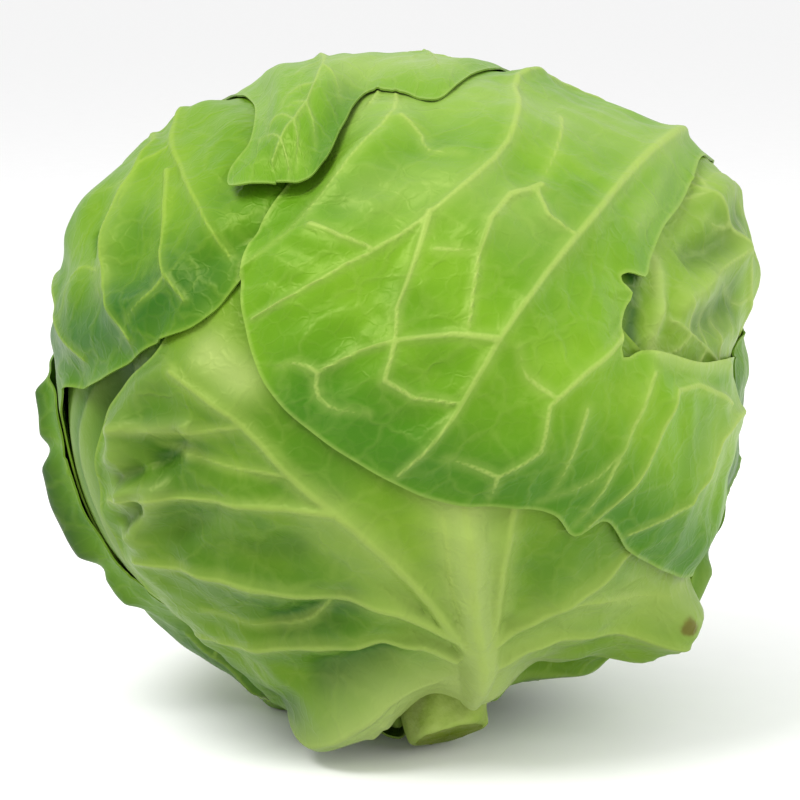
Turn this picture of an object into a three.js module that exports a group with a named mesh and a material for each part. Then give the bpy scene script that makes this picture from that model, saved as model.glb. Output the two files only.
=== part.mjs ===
// A head of green cabbage: a cut stem stub, a packed heart and seven wrapper leaves.
// Millimetres, Z up. A place on the head is [longitude, latitude] in degrees: longitude 0 is the front,
// latitude 90 is the crown and latitude -90 is the stem. The whole head then lies tilted on its foot.

import * as THREE from "three";

// Head
const WAIST_RADIUS = 85;
const CROWN_RADIUS = 80;
const FOOT_RADIUS = 76;
const HEAD_CENTRE = new THREE.Vector3(-0.84, 0.616, 83);
const HEAD_TILT = -27;
const HEAD_ROLL = -8.5;
const SPOT_ANGLE = 11; // the flat spot it lies on, as seen from the head's centre

// Swellings of the head: place, height and spread in degrees
const SWELLINGS = [
  { at: [78, 23], height: 12, spread: 17 }, // right shoulder
  { at: [98, -58], height: 5, spread: 14 }, // right heel
  { at: [90, -15], height: -8, spread: 16 }, // right flank
  { at: [-94, -48], height: -7, spread: 14 }, // left flank
  { at: [-70, -72], height: 7, spread: 15 }, // left heel
  { at: [-45, 55], height: 4, spread: 24 }, // left shoulder
  { at: [-72, 33], height: 7, spread: 16 }, // left brow
  { at: [-162, -62], height: 3, spread: 25 }, // where it lies
  { at: [120, -74], height: -10, spread: 17 }, // hollow beside the stem
];

// Packed inner leaves
const HEART_LAPS = 3;
const LAP_DEPTH = 2.2;
const HEART_CLEARANCE = 0.6;
const HEART_PRESS = 4; // it gives this much where the head lies
const LAP_TWIST = 0.7;

// Stem stub: height below the head's centre and radius, from the heart to the cut
const STEM_PROFILE = [
  [-74.5, 11.6],
  [-78, 11.8],
  [-82, 11.2],
  [-86, 10.6],
  [-88, 9.6],
];
const STEM_SIDES = 30;
const STEM_SCARS = 5;
const STEM_SCAR_DEPTH = 0.35;
const STEM_CUT_SLOPE = 0.12;

// Leaf blades
const BLADE = 1.0;
const LEAF_GAP = 0.9;
const BASE_LATITUDE = -79.6;
const MARGIN_FADE = 22; // a lifted margin eases back to the head over this width
const LAP_START = 8; // a leaf keeps its height this far past the margin of the leaf below
const LAP_EASE = 18; // and then eases down over this width
const SIDE_RIB_WIDTH = 2.2; // half the width of a rib at its root
const SIDE_RIB_HEIGHT = 1.5;
const RIB_TIP_HEIGHT = 0.7;
const RIB_TIP_WIDTH = 0.45; // as a share of the width at the root
const PATTERN_RADIUS = 90; // a leaf's flat pattern is spread from a ball of this size
const RIB_CLEAR = 13; // a leaf above clears the top of a rib by this much on each side
const MARGIN_STEP = 8;
const RIB_STEP = 10;
const FILL_STEP = 12;

const POSE = new THREE.Quaternion().setFromEuler(
  new THREE.Euler(THREE.MathUtils.degToRad(HEAD_TILT), THREE.MathUtils.degToRad(HEAD_ROLL), 0, "YXZ"),
);
const DOWN = new THREE.Vector3(0, 0, -1).applyQuaternion(POSE.clone().invert());

function direction([longitude, latitude]) {
  const lon = THREE.MathUtils.degToRad(longitude);
  const lat = THREE.MathUtils.degToRad(latitude);
  return new THREE.Vector3(Math.cos(lat) * Math.sin(lon), -Math.cos(lat) * Math.cos(lon), Math.sin(lat));
}

// The edge of a leaf where it joins the stem
function base(first, last) {
  const places = [];
  const count = Math.max(2, Math.ceil(Math.abs(last - first) / 18) + 1);
  for (let i = 0; i < count; i += 1) {
    places.push([first + ((last - first) * i) / (count - 1), BASE_LATITUDE, 0]);
  }
  return places;
}

function rib(width, height, path) {
  return { width, height, path };
}

// A midrib along a path, with side ribs that leave it on both sides and sweep towards the tip
function featherRibs(width, height, path, reach) {
  const ribs = [rib(width, height, path)];
  for (let i = 1; i < path.length - 1; i += 1) {
    const [lon, lat] = path[i];
    const spread = reach / Math.max(0.7, Math.cos(THREE.MathUtils.degToRad(lat)));
    for (const side of [-1, 1]) {
      const middle = [lon + side * spread * 0.5, lat + 8];
      const tip = [lon + side * spread, lat + 20];
      ribs.push(rib(SIDE_RIB_WIDTH, SIDE_RIB_HEIGHT, [[lon, lat], middle, tip]));
    }
  }
  return ribs;
}

// Leaves, from the inside out. A margin place also has the height that it stands off the head.

const rightLeaf = {
  name: "leaf_right",
  color: 0x8fae62,
  centre: [80, 0],
  margin: [
    [20, -5, 0], [25, 25, 0], [45, 45, 0], [80, 55, 0], [115, 40, 0], [130, 10, 0], [125, -30, 0],
    [120, -62, 0],
    ...base(112, 72),
    [52, -62, 0], [45, -45, 0], [25, -25, 0],
  ],
  ribs: [
    rib(6, 2, [[92, -79], [90, -55], [86, -25], [84, 0], [80, 30]]),
    rib(2.4, 1.4, [[86, -25], [70, -12], [48, -6]]),
    rib(2.4, 1.4, [[84, 0], [72, 10], [60, 22]]),
    rib(2.4, 1.4, [[86, -25], [100, -10], [112, 8]]),
  ],
};

const frontLeaf = {
  name: "leaf_front",
  color: 0x6f9434,
  centre: [0, -30],
  margin: [
    ...base(44, -72),
    [-92, -76, 4], [-104, -70, 5], [-106, -62, 2], [-98, -53, 0.8], [-84, -46, 3], [-70, -33, 2.5],
    [-63, -22, 3.5],
    [-55, -10, 2.5], [-45, -4, 0.8], [-38, -1, 0], [-30, 6, 0], [-10, 12, 0], [20, 8, 0], [45, -14, 0],
    [62, -24, 0], [85, -38, 0], [96, -48, 2], [90, -62, 1.5], [68, -74, 0.5],
  ],
  ribs: [
    rib(8.5, 9.5, [[26, -79], [19, -68], [14, -58], [11, -46], [10, -30], [8, -10]]),
    rib(3.6, 3, [[26, -70], [20, -57], [19, -41], [24, -22]]),
    rib(3.6, 3.2, [[12, -63], [-1, -49], [-11, -36], [-19, -26], [-25, -16], [-34, -6]]),
    rib(3.4, 3, [[10, -61], [-5, -54], [-22, -48], [-36, -43], [-48, -36], [-62, -29]]),
    rib(3.2, 2.6, [[8, -66], [-6, -61], [-23, -59], [-43, -55], [-63, -49], [-74, -44]]),
    rib(3, 2.2, [[10, -74], [-20, -72], [-55, -70], [-85, -64]]),
    rib(2.2, 1.4, [[-14, -33], [-27, -29], [-45, -23], [-58, -19]]),
    rib(3.2, 2.6, [[21, -63], [37, -55], [47, -49], [56, -40]]),
    rib(3, 2.2, [[26, -69], [45, -63], [68, -58], [92, -50]]),
  ],
};

const leftLeaf = {
  name: "leaf_left",
  color: 0x7ba636,
  centre: [-80, 20],
  margin: [
    [-70, 3, 2], [-60, 0, 2.5], [-50, -1, 2], [-38, 0, 1], [-28, 0, 0.4], [-20, 5, 0.3], [-10, 15, 0],
    [-12, 35, 0],
    [-30, 55, 0], [-60, 75, 0], [-120, 70, 0], [-150, 45, 0], [-160, 10, 0], [-150, -40, 0], [-132, -70, 0],
    ...base(-126, -98),
    [-110, -62, 0], [-101, -40, 0], [-90, -20, 0], [-80, -3, 0.5],
  ],
  ribs: [
    rib(6.5, 4.5, [[-112, -79], [-116, -45], [-112, -5], [-98, 28], [-72, 46], [-48, 50]]),
    rib(2.4, 1.4, [[-48, 50], [-40, 38], [-32, 27], [-26, 17], [-22, 9]]),
    rib(2.2, 1.3, [[-46, 36], [-35, 22], [-35, 13], [-30, 4]]),
    rib(2.4, 1.4, [[-72, 46], [-62, 34], [-52, 17], [-45, 4]]),
    rib(2.4, 1.4, [[-92, 33], [-78, 24], [-67, 13], [-58, 4]]),
    rib(2.4, 1.4, [[-113, -10], [-130, 5], [-143, 22]]),
  ],
};

const overLeaf = {
  name: "leaf_over",
  color: 0x85b547,
  centre: [60, 15],
  margin: [
    [-8, 28, 0], [-15, 16, 0.3], [-19, 9, 0.3], [-20.5, 1, 0.4], [-19, -12, 0.3], [-11, -23, 0.4],
    [5, -34, 0.3],
    [27, -37, 0.5], [34, -41, 0.4], [39, -38, 0.6], [51, -43, 0.5], [77, -44, 1], [90, -40, 0.5],
    [100, -36, 0],
    [106, -22, 0], [106, -8, 0], [98, -1, 0.3], [84, -4, 1], [66, -9, 1.5], [52, -12, 1.5], [43, -12, 0.8],
    [41, -6, 0.5], [46, 3, 1.5], [60, 13, 2], [73, 22, 1.5], [90, 20, 0.5], [114, 8, 0], [124, -20, 0],
    [130, -58, 0],
    ...base(134, 156),
    [164, -56, 0], [165, -10, 0], [150, 32, 0], [110, 60, 0], [60, 74, 0], [20, 74, 0], [0, 58, 0],
  ],
  ribs: [
    rib(7, 3, [[145, -79], [145, -45], [138, -5], [118, 26], [92, 36], [72, 31]]),
    rib(2.8, 1.6, [[72, 31], [52, 22], [40, 13], [26, 0], [16, -11], [8, -22], [-1, -29]]),
    rib(2.6, 1.5, [[92, 36], [62, 48], [38, 43], [30, 31], [22, 19], [8, 8], [-10, 0], [-19, -2]]),
    rib(2, 1.2, [[118, 26], [96, 54], [50, 62], [12, 52], [3, 37]]),
    rib(2, 1.2, [[16, -11], [7, -10], [-4, -10], [-13, -14]]),
    rib(2, 1.2, [[27, 13], [20, 10], [15, 2], [12, -9]]),
    rib(2, 1.2, [[9, 9], [6, 2], [2, -6], [1, -18]]),
    rib(2, 1.2, [[40, -8], [31, -15], [24, -19], [22, -27], [14, -32]]),
    rib(2.2, 1.3, [[106, -14], [84, -13], [66, -20], [62, -30], [47, -40]]),
    rib(2, 1.2, [[66, -16], [48, -17], [45, -28], [36, -39]]),
  ],
};

const backLeftLeaf = {
  name: "leaf_back_left",
  color: 0x63882a,
  centre: [-125, -25],
  margin: [
    [-79, 5, 1], [-81, -3, 3], [-84, -12, 4], [-87, -21, 2.5], [-88, -30, 2], [-94, -40, 4], [-106, -50, 3],
    [-119, -63, 1],
    ...base(-126, -150),
    [-162, -55, 0], [-165, -25, 0], [-158, 2, 2], [-140, 18, 4], [-120, 24, 2], [-102, 24, 4], [-88, 15, 2],
  ],
  ribs: featherRibs(7, 5.5, [[-130, -79], [-130, -58], [-128, -34], [-124, -10], [-116, 14]], 20),
};

const backRightLeaf = {
  name: "leaf_back_right",
  color: 0x5f8a2c,
  centre: [125, -30],
  margin: [
    [86, 2, 1], [78, -9, 1.5], [81, -18, 2], [89, -24, 3], [91, -33, 1.5], [95, -41, 3.5], [97, -49, 2],
    [110, -62, 0.5],
    ...base(122, 150),
    [162, -55, 0], [165, -30, 0], [158, -4, 2], [140, 10, 4], [122, 12, 2], [104, 13, 3.5],
  ],
  ribs: featherRibs(7, 3, [[128, -79], [128, -58], [127, -36], [122, -14], [114, 6]], 20),
};

const crownLeaf = {
  name: "leaf_crown",
  color: 0x93ba52,
  centre: [175, 30],
  margin: [
    [30, 46, 0.3], [16, 35, 0.3], [10, 39, 0.2], [3, 42, 0.3], [-2, 32, 1.5], [-5, 22, 2.5], [-8, 18, 3],
    [-15, 19, 3.5], [-21, 20, 3], [-22, 24, 2.5], [-20, 31, 1.5], [-22, 42, 1.5], [-39, 57, 1],
    [-88, 60, 2],
    [-125, 38, 3], [-142, 5, 2], [-135, -30, 1], [-118, -55, 0.5],
    ...base(-124, -196),
    [172, -60, 0.5], [152, -35, 1], [150, 0, 2], [140, 34, 3], [105, 55, 1.5], [60, 57, 1],
  ],
  ribs: [
    rib(8, 6, [
      [-172, -79], [-174, -55], [-178, -25], [-179, 5], [-178, 35], [-176, 62], [-60, 86], [-12, 66],
    ]),
    rib(2.6, 1.6, [[-12, 66], [-6, 47], [-9, 33], [-14, 23]]),
    rib(2.4, 1.5, [[-176, 62], [60, 80], [28, 62], [20, 46]]),
    rib(2.8, 1.8, [[-178, 35], [-155, 50], [-120, 56]]),
    rib(2.8, 1.8, [[-179, 5], [-164, 18], [-144, 24]]),
    rib(2.8, 1.8, [[-178, -25], [-162, -14], [-146, -6]]),
    rib(2.8, 1.8, [[-178, 35], [160, 50], [125, 54]]),
    rib(2.8, 1.8, [[-179, 5], [168, 18], [150, 24]]),
    rib(2.8, 1.8, [[-178, -25], [168, -14], [156, -6]]),
  ],
};

const LEAVES = [rightLeaf, frontLeaf, leftLeaf, overLeaf, backLeftLeaf, backRightLeaf, crownLeaf];

// Flat patterns

function toPattern(leaf, dir) {
  const angle = Math.acos(THREE.MathUtils.clamp(dir.dot(leaf.out), -1, 1));
  const x = dir.dot(leaf.right);
  const y = dir.dot(leaf.tipward);
  const length = Math.hypot(x, y) || 1;
  return [(PATTERN_RADIUS * angle * x) / length, (PATTERN_RADIUS * angle * y) / length];
}

function fromPattern(leaf, [x, y]) {
  const length = Math.hypot(x, y);
  const angle = length / PATTERN_RADIUS;
  const side = length > 0 ? Math.sin(angle) / length : 0;
  return leaf.out
    .clone()
    .multiplyScalar(Math.cos(angle))
    .addScaledVector(leaf.right, x * side)
    .addScaledVector(leaf.tipward, y * side);
}

function patternCurve(leaf, places, closed) {
  const points = places.map(([lon, lat, lift = 0]) => {
    const [x, y] = toPattern(leaf, direction([lon, lat]));
    return new THREE.Vector3(x, y, lift);
  });
  return new THREE.CatmullRomCurve3(points, closed, "centripetal");
}

function layOut(leaf) {
  const [lon, lat] = leaf.centre;
  leaf.out = direction([lon, lat]);
  leaf.tipward = direction([lon, lat + 90]);
  leaf.right = leaf.tipward.clone().cross(leaf.out);
  const edge = patternCurve(leaf, leaf.margin, true);
  const edgeSteps = Math.round(edge.getLength() / MARGIN_STEP);
  leaf.edge = edge.getSpacedPoints(edgeSteps).slice(0, edgeSteps);
  for (const each of leaf.ribs) {
    const line = patternCurve(leaf, each.path, false);
    each.line = line.getSpacedPoints(Math.max(2, Math.round(line.getLength() / RIB_STEP)));
  }
}

function nearestOnSegment(x, y, a, b) {
  const dx = b.x - a.x;
  const dy = b.y - a.y;
  const along = THREE.MathUtils.clamp(((x - a.x) * dx + (y - a.y) * dy) / (dx * dx + dy * dy), 0, 1);
  return { along, distance: Math.hypot(x - a.x - dx * along, y - a.y - dy * along) };
}

// How far a place lies inside the margin, and how high the nearest margin stands off
function marginAt(leaf, x, y) {
  let nearest = Infinity;
  let lift = 0;
  let inside = false;
  leaf.edge.forEach((a, i) => {
    const b = leaf.edge[(i + 1) % leaf.edge.length];
    const { along, distance } = nearestOnSegment(x, y, a, b);
    if (distance < nearest) {
      nearest = distance;
      lift = a.z + (b.z - a.z) * along;
    }
    if (a.y > y !== b.y > y && x < a.x + ((b.x - a.x) * (y - a.y)) / (b.y - a.y)) {
      inside = !inside;
    }
  });
  return { depth: inside ? nearest : -nearest, lift };
}

// Height of the ribs, with their tops widened where another leaf has to clear them
function ribHeight(leaf, x, y, widen) {
  let highest = 0;
  for (const each of leaf.ribs) {
    const last = each.line.length - 1;
    for (let i = 0; i < last; i += 1) {
      const { along, distance } = nearestOnSegment(x, y, each.line[i], each.line[i + 1]);
      const t = (i + along) / last;
      const width = each.width * (1 - (1 - RIB_TIP_WIDTH) * t);
      const side = Math.max(0, distance - widen) / width;
      if (side < 1) {
        const height = RIB_TIP_HEIGHT + (each.height - RIB_TIP_HEIGHT) * (1 - t) ** 3;
        highest = Math.max(highest, height * (1 - side * side) ** 2);
      }
    }
  }
  return highest;
}

function liftHeight(margin) {
  const nearness = THREE.MathUtils.clamp(1 - margin.depth / MARGIN_FADE, 0, 1);
  return margin.lift * nearness * nearness;
}

// Shape of the head

function headRadius(dir) {
  const pole = dir.z > 0 ? CROWN_RADIUS : FOOT_RADIUS;
  const across = (dir.x ** 2 + dir.y ** 2) / WAIST_RADIUS ** 2;
  let radius = 1 / Math.sqrt(across + dir.z ** 2 / pole ** 2);
  for (const { at, height, spread } of SWELLINGS) {
    const angle = THREE.MathUtils.radToDeg(dir.angleTo(direction(at)));
    radius += height * Math.exp(-((angle / spread) ** 2));
  }
  return radius;
}

function floorDistance(dir) {
  const fall = dir.dot(DOWN);
  return fall > 0 ? HEAD_CENTRE.z / fall : Infinity;
}

// Height of the first few leaves over the heart
function stackHeight(dir, count) {
  let height = 0;
  for (const leaf of LEAVES.slice(0, count)) {
    const [x, y] = toPattern(leaf, dir);
    const margin = marginAt(leaf, x, y);
    const ease = THREE.MathUtils.smoothstep(margin.depth, -LAP_START - LAP_EASE, -LAP_START);
    if (ease > 0) {
      height += ease * (LEAF_GAP + BLADE + liftHeight(margin) + ribHeight(leaf, x, y, RIB_CLEAR));
    }
  }
  return height;
}

function heartRadius(dir) {
  return Math.min(headRadius(dir), floorDistance(dir) - stackHeight(dir, LEAVES.length));
}

// Solids

function solid(name, color, vertices, triangles) {
  const geometry = new THREE.BufferGeometry().setFromPoints(vertices);
  geometry.setIndex(triangles.flat());
  geometry.applyQuaternion(POSE);
  geometry.translate(HEAD_CENTRE.x, HEAD_CENTRE.y, HEAD_CENTRE.z);
  geometry.computeVertexNormals();
  const mesh = new THREE.Mesh(geometry, new THREE.MeshStandardMaterial({ color, roughness: 0.5 }));
  mesh.name = name;
  return mesh;
}

function triangleAt(points, a, b, c) {
  const [ax, ay] = points[a];
  const bx = points[b][0] - ax;
  const by = points[b][1] - ay;
  const cx = points[c][0] - ax;
  const cy = points[c][1] - ay;
  const cross = 2 * (bx * cy - by * cx);
  const ux = (cy * (bx * bx + by * by) - by * (cx * cx + cy * cy)) / cross;
  const uy = (bx * (cx * cx + cy * cy) - cx * (bx * bx + by * by)) / cross;
  return { corners: cross > 0 ? [a, b, c] : [a, c, b], x: ax + ux, y: ay + uy, reach: ux * ux + uy * uy };
}

// Splits a flat set of points into triangles, each with no other point in the circle round it
function triangulate(points) {
  const count = points.length;
  const all = [...points, [-5000, -4000], [5000, -4000], [0, 6000]];
  let triangles = [triangleAt(all, count, count + 1, count + 2)];
  points.forEach(([x, y], i) => {
    const open = new Map();
    triangles = triangles.filter((each) => {
      if ((x - each.x) ** 2 + (y - each.y) ** 2 >= each.reach) {
        return true;
      }
      each.corners.forEach((a, k) => {
        const b = each.corners[(k + 1) % 3];
        if (!open.delete(`${b},${a}`)) {
          open.set(`${a},${b}`, [a, b]);
        }
      });
      return false;
    });
    for (const [a, b] of open.values()) {
      triangles.push(triangleAt(all, a, b, i));
    }
  });
  const faces = triangles.map((each) => each.corners);
  return faces.filter((corners) => corners.every((corner) => corner < count));
}

// Points of a leaf's mesh: its margin, lines across its ribs, and an even fill
function patternPoints(leaf) {
  const points = leaf.edge.map((point) => [point.x, point.y]);
  const add = (x, y, clearance, inset) => {
    const clear = points.every(([px, py]) => Math.hypot(px - x, py - y) > clearance);
    if (clear && marginAt(leaf, x, y).depth > inset) {
      points.push([x, y]);
    }
  };
  for (const each of leaf.ribs) {
    const last = each.line.length - 1;
    const rows = each.width > 5 ? [0, -0.5, 0.5, -1, 1] : [0, -1, 1];
    for (const row of rows) {
      each.line.forEach((point, i) => {
        const before = each.line[Math.max(0, i - 1)];
        const after = each.line[Math.min(last, i + 1)];
        const across = new THREE.Vector2(before.y - after.y, after.x - before.x).normalize();
        const offset = row * each.width * (1 - ((1 - RIB_TIP_WIDTH) * i) / last);
        add(point.x + across.x * offset, point.y + across.y * offset, row === 0 ? 2.5 : 1.6, 2);
      });
    }
  }
  const size = PATTERN_RADIUS * 2.6;
  const rowStep = FILL_STEP * Math.sqrt(0.75);
  for (let row = 0; row * rowStep < 2 * size; row += 1) {
    for (let column = 0; column * FILL_STEP < 2 * size; column += 1) {
      const jitter = Math.sin(row * 12.9 + column * 78.2) * 0.4;
      const x = -size + (column + (row % 2) / 2) * FILL_STEP + jitter;
      add(x, -size + row * rowStep - jitter, FILL_STEP * 0.62, FILL_STEP * 0.4);
    }
  }
  return points;
}

function leafSolid(leaf, order) {
  const points = patternPoints(leaf);
  const faces = triangulate(points).filter((corners) => {
    const x = corners.reduce((sum, corner) => sum + points[corner][0], 0) / 3;
    const y = corners.reduce((sum, corner) => sum + points[corner][1], 0) / 3;
    return marginAt(leaf, x, y).depth > 0;
  });
  const inner = [];
  const outer = [];
  for (const [x, y] of points) {
    const dir = fromPattern(leaf, [x, y]);
    const margin = marginAt(leaf, x, y);
    const lift = liftHeight(margin);
    const under = heartRadius(dir) + stackHeight(dir, order) + LEAF_GAP + lift;
    let over = under + BLADE + ribHeight(leaf, x, y, 0);
    const onSpot = THREE.MathUtils.radToDeg(dir.angleTo(DOWN)) < SPOT_ANGLE;
    if (order === LEAVES.length - 1 && onSpot) {
      over = floorDistance(dir);
    }
    inner.push(dir.clone().multiplyScalar(under));
    outer.push(dir.clone().multiplyScalar(over));
  }
  const count = points.length;
  const triangles = [];
  const rim = new Map();
  for (const [a, b, c] of faces) {
    triangles.push([a, b, c], [count + a, count + c, count + b]);
    for (const [from, to] of [[a, b], [b, c], [c, a]]) {
      if (!rim.delete(`${to},${from}`)) {
        rim.set(`${from},${to}`, [from, to]);
      }
    }
  }
  for (const [from, to] of rim.values()) {
    triangles.push([to, from, count + from], [to, count + from, count + to]);
  }
  return solid(leaf.name, leaf.color, [...outer, ...inner], triangles);
}

// The heart: laps of the packed leaves run up it in a slow turn, and its foot is flat for the stem
function heartSolid() {
  const ball = new THREE.IcosahedronGeometry(1, 9);
  const place = ball.getAttribute("position");
  const vertices = [];
  const triangles = [];
  for (let i = 0; i < place.count; i += 1) {
    const dir = new THREE.Vector3().fromBufferAttribute(place, i).normalize();
    const turn = Math.atan2(dir.x, -dir.y) / (2 * Math.PI) + 1 + (LAP_TWIST * dir.z) / HEART_LAPS;
    const lap = (turn * HEART_LAPS) % 1;
    const level = Math.sqrt(1 - dir.z * dir.z);
    const pressed = floorDistance(dir) - stackHeight(dir, LEAVES.length) - HEART_PRESS;
    const relief = LAP_DEPTH * lap * Math.min(1, 2 * level);
    let radius = Math.min(heartRadius(dir) - HEART_CLEARANCE, pressed) - relief;
    if (dir.z < -0.9) {
      radius = Math.min(radius, (STEM_PROFILE[0][0] + 0.5) / dir.z);
    }
    vertices.push(dir.multiplyScalar(radius));
    if (i % 3 === 2) {
      triangles.push([i - 2, i - 1, i]);
    }
  }
  return solid("heart", 0xb9cf85, vertices, triangles);
}

// The stem: a turned stub with shallow leaf scars and a sloping cut
function stemSolid() {
  const vertices = [];
  const triangles = [];
  const lowest = STEM_PROFILE.length - 1;
  STEM_PROFILE.forEach(([height, radius], ring) => {
    for (let i = 0; i < STEM_SIDES; i += 1) {
      const angle = (2 * Math.PI * i) / STEM_SIDES;
      const scar = STEM_SCAR_DEPTH * Math.cos(STEM_SCARS * angle + ring * 1.3);
      const x = (radius - STEM_SCAR_DEPTH + scar) * Math.cos(angle);
      const y = (radius - STEM_SCAR_DEPTH + scar) * Math.sin(angle);
      vertices.push(new THREE.Vector3(x, y, height + (STEM_CUT_SLOPE * x * ring) / lowest));
    }
  });
  for (let ring = 0; ring < lowest; ring += 1) {
    for (let i = 0; i < STEM_SIDES; i += 1) {
      const a = ring * STEM_SIDES + i;
      const b = ring * STEM_SIDES + ((i + 1) % STEM_SIDES);
      triangles.push([a, a + STEM_SIDES, b], [b, a + STEM_SIDES, b + STEM_SIDES]);
    }
  }
  const top = vertices.length;
  vertices.push(new THREE.Vector3(0, 0, STEM_PROFILE[0][0]));
  vertices.push(new THREE.Vector3(0, 0, STEM_PROFILE[lowest][0]));
  for (let i = 0; i < STEM_SIDES; i += 1) {
    const next = (i + 1) % STEM_SIDES;
    const rim = lowest * STEM_SIDES;
    triangles.push([top, i, next], [top + 1, rim + next, rim + i]);
  }
  return solid("stem", 0x8fa04b, vertices, triangles);
}

LEAVES.forEach(layOut);
const head = new THREE.Group();
head.name = "cabbage_head";
head.add(heartSolid(), stemSolid(), ...LEAVES.map(leafSolid));

export default head;
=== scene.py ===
"""A head of green cabbage: a cut stem stub, a packed heart and seven veined wrapper leaves."""

import math

import bpy
import numpy as np
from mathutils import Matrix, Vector
from mathutils.bvhtree import BVHTree


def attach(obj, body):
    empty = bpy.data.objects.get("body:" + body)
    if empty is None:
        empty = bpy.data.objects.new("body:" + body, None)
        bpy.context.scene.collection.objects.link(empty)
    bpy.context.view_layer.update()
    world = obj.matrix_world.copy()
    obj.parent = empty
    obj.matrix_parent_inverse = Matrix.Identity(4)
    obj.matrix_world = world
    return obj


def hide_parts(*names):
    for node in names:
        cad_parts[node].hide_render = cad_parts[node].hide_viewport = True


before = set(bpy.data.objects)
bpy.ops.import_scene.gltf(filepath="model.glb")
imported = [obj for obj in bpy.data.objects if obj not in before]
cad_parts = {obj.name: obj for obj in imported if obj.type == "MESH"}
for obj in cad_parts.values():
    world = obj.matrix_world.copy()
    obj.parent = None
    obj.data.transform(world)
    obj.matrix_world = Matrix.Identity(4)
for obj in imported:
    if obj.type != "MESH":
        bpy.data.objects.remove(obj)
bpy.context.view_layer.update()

# Head, in metres and degrees. A place on it is (longitude, latitude): longitude 0 is the front,
# latitude 90 is the crown and latitude -90 is the stem.
MM = 0.001
WAIST_RADIUS = 0.085
CROWN_RADIUS = 0.080
FOOT_RADIUS = 0.076
HEAD_CENTRE = np.array([-0.00084, 0.000616, 0.083])
HEAD_TILT = -27.0
HEAD_ROLL = -8.5
FLAT_ANGLE = 11.0

# Swellings of the head: longitude, latitude, height and spread in degrees
SWELLINGS = [
    (78, 23, 0.012, 17),
    (98, -58, 0.005, 14),
    (90, -15, -0.008, 16),
    (-94, -48, -0.007, 14),
    (-70, -72, 0.007, 15),
    (-45, 55, 0.004, 24),
    (-72, 33, 0.007, 16),
    (-162, -62, 0.003, 25),
    (120, -74, -0.010, 17),
]

# Packed inner leaves
HEART_SUBDIVISIONS = 7
HEART_LAPS = 3
LAP_DEPTH = 0.0022
LAP_TWIST = 0.7
HEART_CLEARANCE = 0.0008
HEART_PRESS = 0.004
HEART_FLAT = 0.0740
HEART_FLAT_FROM = -0.9
HEART_SINK = 0.0028
SINK_EASE = (1 * MM, 7 * MM)

# Laps of the heart that show beside the front leaf, and the hollow under the side leaf
LAP_STEP = 0.0105
LAP_RISE = 0.0024
LAP_SHIFT = 0.25
LAP_STRETCH = 0.0044
LAP_SLOPES = (0.72, 0.28)
LAP_ROUNDING = 0.7
LAP_WAVE = 34 * MM
LAP_WAVE_HEIGHT = 3 * MM
LAP_SEED = 31
LAP_FADE = (15 * MM, 30 * MM)
LAP_FADE_SHARE = 0.75
LAP_FADE_LEVEL = 0.6
SHOWN_SIDE = (0.35, 0.6)
SHOWN_START = (-16 * MM, -10 * MM)
SHOWN_END = (36 * MM, 44 * MM)
HOLLOW_PLACE = (-55, -3)
HOLLOW_DEPTH = 0.009
HOLLOW_SPREAD = 9.0

# Stem stub: heights from the head's centre with their radii, then its scars and its sloping cut
STEM_PROFILE = [
    (-0.0745, 0.0116), (-0.078, 0.0118), (-0.082, 0.0112), (-0.086, 0.0106), (-0.0874, 0.0102),
    (-0.088, 0.0094),
]
STEM_STEP = 0.6 * MM
STEM_SIDES = 96
STEM_SCARS = 5
STEM_SCAR_DEPTH = 0.0005
STEM_SCAR_TWIST = 4.5
STEM_CUT_SLOPE = 0.12
STEM_CUT_ROUGHNESS = 0.25 * MM
STEM_FACE_RINGS = 10

# Leaf blades
BLADE = 0.0010
BLADE_EDGE = 0.0005
THINNEST = 0.3 * MM
LEAF_GAP = 0.0009
MARGIN_GAP = 0.00025
BASE_LATITUDE = -79.6
BASE_STEP = 18
MARGIN_FADE = 0.022
LAP_START = 0.008
LAP_EASE = 0.018
PATTERN_RADIUS = 0.090
PATTERN_UNIT = 0.1

# How far in from its margin, or out from the stem, a leaf's shapes grow to their full size
EDGE_EASE = 6 * MM
GAP_EASE = 10 * MM
BLADE_EASE = 14 * MM
FOOT_EASE = (16 * MM, 34 * MM)
COVER_EASE = (-9 * MM, -1 * MM)
SNUG_REACH = 18 * MM
SNUG_EASE = (3 * MM, 17 * MM)
SNUG_ROUNDS = 12
SNUG_CLEARANCE = 0.3 * MM
SNUG_DROP = 0.005

# Waves of a blade and of its margin
LONG_WAVE = 30 * MM
SHORT_WAVE = 11 * MM
SHORT_WAVE_SHARE = 0.35
SHORT_WAVE_SEED = 50
FRILL_WAVE = 16 * MM
FRILL_SEED = 90
RIPPLE_STRETCH = (0.7, 1.4)

# Ribs and veins. The reach of a branch vein is in millimetres.
SIDE_RIB_WIDTH = 0.0022
SIDE_RIB_HEIGHT = 0.0015
SIDE_RIB_SWEEP = (8, 20)
RIB_TIP_HEIGHT = 0.0007
RIB_TIP_WIDTH = 0.45
RIB_CLEAR = 0.013
RIB_LINE_LEAST = 0.6 * MM
RIB_LINE_MOST = 4 * MM
RIB_LINE_SHARE = 0.42
RIB_LINE_TAPER = 0.20
FINE_VEIN_WIDTH = 0.0007
FINE_VEIN_HEIGHT = 0.0004
FINE_VEIN_SPREAD = 1.6
BRANCH_REACH = (8, 17)
BRANCH_SWEEP = (0.6, 0.9)
BRANCH_SHARE = 0.7
NO_VEIN = 9.0

# The heel of the front leaf's midrib, and the brown spot
HEEL_PLACE = (38, -79)
HEEL_HEIGHT = 0.0085
HEEL_WIDTH = 0.013
SPOT_PLACE = (84, -49)
SPOT_WIDTH = 0.003

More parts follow.
